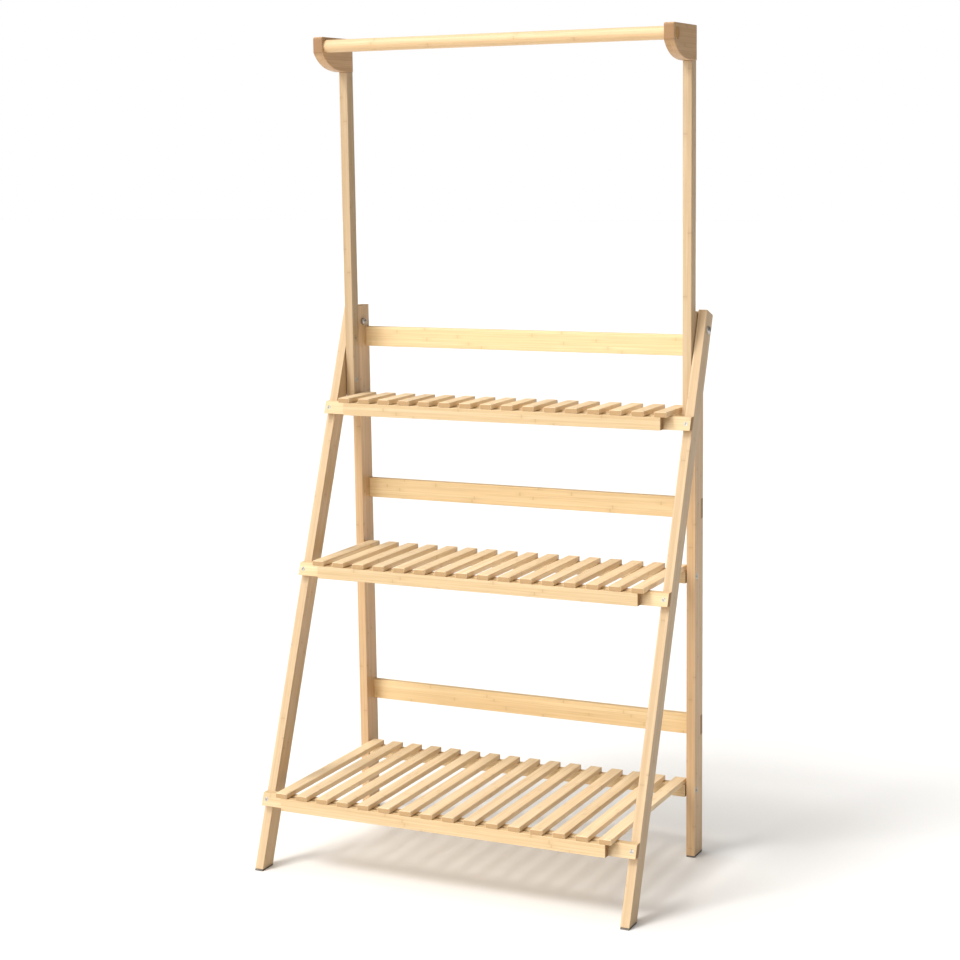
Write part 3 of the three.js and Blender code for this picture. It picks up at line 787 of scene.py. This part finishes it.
def back_rail(level):
    if level in SCREWED_RAILS:
        holes = [screw_hole(WOOD_SCREW, *rail_screw_at(side, level)) for side in SIDES]
    else:
        holes = [upright_bolt_hole(side, "upper") for side in SIDES]
    wooden(f"back_rail_{level}", block(2 * POST_X + BOARD, RAIL_HEIGHT, RAIL_THICKNESS),
           along_x((0, BACK_Y - RAIL_THICKNESS / 2, RAIL_HEIGHTS[level])), "rear_frame",
           BACK_RAIL_WOOD_PAINTED_LIGHT, cutters=holes)


def hanging_rod():
    end = POST_X + BRACKET_THICKNESS / 2
    rim = ROD_RADIUS - ROD_END_CHAMFER
    profile = [(-end, 0), (-end, rim), (-end + ROD_END_CHAMFER, ROD_RADIUS),
               (end - ROD_END_CHAMFER, ROD_RADIUS), (end, rim), (end, 0)]
    place = along_x((0, ROD_Y, ROD_Z))
    holes = [screw_hole(SHORT_SCREW, *rod_screw_at(side)) for side in SIDES]
    add("hanging_rod", combined(turned(profile, ROD_SIDES), place, holes), place, "rear_frame",
        ROD_WOOD, "bamboo_rod", "hanging_rod", smooth=True)


for side in SIDES:
    rear_leg(side)
    upright(side)
    rod_bracket(side)
    rear_fasteners(side)
for level in RAIL_HEIGHTS:
    back_rail(level)
hanging_rod()

# ---------------------------------------------------------------- front frame

def front_leg(side):
    """A leaning leg, whose own X runs up it, with its foot cut level with the floor."""
    toe, heel = ((front_frame_z(y, PAD), y) for y in (-LEG_FACE, LEG_FACE))
    outline = [heel, (LEG_ABOVE_FOLD, LEG_FACE), (LEG_ABOVE_FOLD, -LEG_FACE), toe]
    holes = [screw_hole(WOOD_SCREW, *crossbar_screw_at(side, level)) for level in SHELF_TOPS]
    holes.append(fold_hole(side, WIDTH / 2))
    place = LEANING @ axes((0, 0, 1), (0, 1, 0), (-1, 0, 0), (SIDES[side] * FRONT_LEG_X, 0, 0))
    wooden(f"front_leg_{side}", prism(outline, -BOARD / 2, BOARD / 2), place, "front_frame",
           POST_WOOD, cutters=holes)


def crossbar(level):
    """A bar across the front of both legs, with level upper and lower edges, and its screws."""
    back = -LEG_FACE - FIT
    front = back - CROSSBAR_THICKNESS
    upper = SHELF_TOPS[level] - SLAT_THICKNESS - FIT
    lower = SHELF_TOPS[level] - SLAT_THICKNESS - SHELF_RAIL_HEIGHT
    outline = [(front, front_frame_z(front, lower)), (back, front_frame_z(back, lower)),
               (back, front_frame_z(back, upper)), (front, front_frame_z(front, upper))]
    holes = [screw_hole(WOOD_SCREW, *crossbar_screw_at(side, level)) for side in SIDES]
    wooden(f"crossbar_{level}", prism(outline, -WIDTH / 2, WIDTH / 2, swept="X"), LEANING,
           "front_frame", RAIL_WOOD, CROSSBAR_EASE, holes)
    for side in SIDES:
        fastener(f"crossbar_screw_{level}_{side}", WOOD_SCREW_MESH,
                 *crossbar_screw_at(side, level), "front_frame", SCREW_METAL)


for side in SIDES:
    front_leg(side)
for level in SHELF_TOPS:
    crossbar(level)

# ---------------------------------------------------------------- shelves

def shelf(level):
    """A rear rail, an apron and slats. The CAD holds the rear rail and the slats as one node."""
    body = f"{level}_shelf"
    node = f"shelf_slats_{level}"
    front_y = apron_front_y(level)
    back_y = SHELF_PIVOT_Y + REAR_RAIL_THICKNESS / 2
    rail_z = SHELF_TOPS[level] - SLAT_THICKNESS - SHELF_RAIL_HEIGHT / 2
    holes = [screw_hole(PIVOT_SCREW, *pivot_at(side, level)) for side in SIDES]
    wooden(f"shelf_rear_rail_{level}",
           block(2 * REAR_RAIL_HALF, SHELF_RAIL_HEIGHT, REAR_RAIL_THICKNESS),
           along_x((0, SHELF_PIVOT_Y, rail_z)), body, RAIL_WOOD, cutters=holes, nodes=[node])
    wooden(f"shelf_apron_{level}",
           block(2 * APRON_HALF, SHELF_RAIL_HEIGHT, APRON_THICKNESS),
           along_x((0, front_y + APRON_THICKNESS / 2, rail_z)), body, RAIL_WOOD)
    for index in range(SLAT_COUNT):
        x = -SHELF_HALF_WIDTH + SLAT_WIDTH / 2 + index * SLAT_PITCH
        place = along_y((x, (front_y + back_y) / 2, SHELF_TOPS[level] - SLAT_THICKNESS / 2))
        wooden(f"shelf_slat_{level}_{index + 1:02d}",
               block(back_y - front_y, SLAT_WIDTH, SLAT_THICKNESS), place, body, SLAT_WOOD_PAINTED_LIGHT,
               SLAT_EASE, nodes=[node])


for level in SHELF_TOPS:
    shelf(level)

# ---------------------------------------------------------------- foot pads, kept from the CAD

for node_name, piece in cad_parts.items():
    if node_name.startswith("foot_pad"):
        piece.data.materials.clear()
        piece.data.materials.append(PAD_RUBBER)

# ---------------------------------------------------------------- floor, light and camera

def floor_material():
    n = Nodes("pale_floor")
    place = n.node("ShaderNodeTexCoord", out="Object")
    soft = n.noise(place, 1.5, 3.0, 0.5)
    base = n.mix(soft, (0.80, 0.80, 0.797, 1), (0.83, 0.83, 0.827, 1))
    return n.shade(Base_Color=base, Roughness=n.ramp(soft, 0.3, 0.7, 0.85, 0.95))


FLOOR_SIZE, FLOOR_THICKNESS = 60000, 10


def lay_floor():
    mesh = block(FLOOR_SIZE, FLOOR_SIZE, FLOOR_THICKNESS)
    mesh.materials.append(floor_material())
    floor = bpy.data.objects.new("floor", mesh)
    bpy.context.scene.collection.objects.link(floor)
    floor.location = (0, 0, -FLOOR_THICKNESS / 2 * MM)


def studio_world():
    """A weak sky that lights the shelf, behind a white backdrop that only the camera sees."""
    world = bpy.data.worlds.new("studio")
    bpy.context.scene.world = world
    world.use_nodes = True
    nodes, join = world.node_tree.nodes, world.node_tree.links.new
    sky = nodes["Background"]
    sky.inputs["Color"].default_value = (1.0, 0.985, 0.96, 1)
    sky.inputs["Strength"].default_value = 0.20
    backdrop = nodes.new("ShaderNodeBackground")
    backdrop.inputs["Color"].default_value = (1, 1, 1, 1)
    backdrop.inputs["Strength"].default_value = 1.0
    path = nodes.new("ShaderNodeLightPath")
    choose = nodes.new("ShaderNodeMixShader")
    join(path.outputs["Is Camera Ray"], choose.inputs[0])
    join(sky.outputs[0], choose.inputs[1])
    join(backdrop.outputs[0], choose.inputs[2])
    join(choose.outputs[0], nodes["World Output"].inputs["Surface"])


def sun_light(name, source, strength, spread, color):
    """A sun that shines from the direction of its source; its spread is in degrees."""
    data = bpy.data.lights.new(name, "SUN")
    data.energy = strength
    data.angle = math.radians(spread)
    data.color = color
    lamp = bpy.data.objects.new(name, data)
    bpy.context.scene.collection.objects.link(lamp)
    lamp.rotation_mode = "QUATERNION"
    lamp.rotation_quaternion = Vector(source).to_track_quat("Z", "Y")


lay_floor()
studio_world()
sun_light("key", (-0.36, -0.46, 0.81), 1.9, 20, (1.0, 0.985, 0.955))
sun_light("dome", (-0.50, -0.30, 0.81), 2.5, 105, (1.0, 0.985, 0.965))
sun_light("front", (-0.25, -0.94, 0.22), 1.3, 50, (1.0, 0.98, 0.95))
bpy.context.scene.view_settings.view_transform = "Standard"

# The photo's camera, as fitted. Its place is in metres. It looks along +Y, turned by the azimuth
# towards -X and then tilted down and rolled.
CAMERA_AT = (1.4774, -3.0767, 1.2327)
AZIMUTH, TILT_DOWN, ROLL = math.radians(25.58), math.radians(8.873), math.radians(-0.819)
LENS, SENSOR = 75.86, 36
SHIFT_X, SHIFT_Y = -0.0017, -0.0120


def camera_axes():
    """The camera's right, up and forward directions."""
    ahead = Vector((-math.sin(AZIMUTH), math.cos(AZIMUTH), 0))
    level = Vector((math.cos(AZIMUTH), math.sin(AZIMUTH), 0))
    plumb = Vector((0, 0, 1))
    forward = math.cos(TILT_DOWN) * ahead - math.sin(TILT_DOWN) * plumb
    lift = math.cos(TILT_DOWN) * plumb + math.sin(TILT_DOWN) * ahead
    right = math.cos(ROLL) * level + math.sin(ROLL) * lift
    up = -math.sin(ROLL) * level + math.cos(ROLL) * lift
    return right, up, forward


def photo_camera():
    data = bpy.data.cameras.new("camera")
    data.sensor_width = SENSOR
    data.lens = LENS
    data.shift_x = SHIFT_X
    data.shift_y = SHIFT_Y
    data.dof.use_dof = False
    camera = bpy.data.objects.new("camera", data)
    bpy.context.scene.collection.objects.link(camera)
    right, up, forward = camera_axes()
    turn = Matrix((right, up, -forward)).transposed().to_4x4()
    camera.matrix_world = Matrix.Translation(CAMERA_AT) @ turn
    bpy.context.scene.camera = camera


photo_camera()
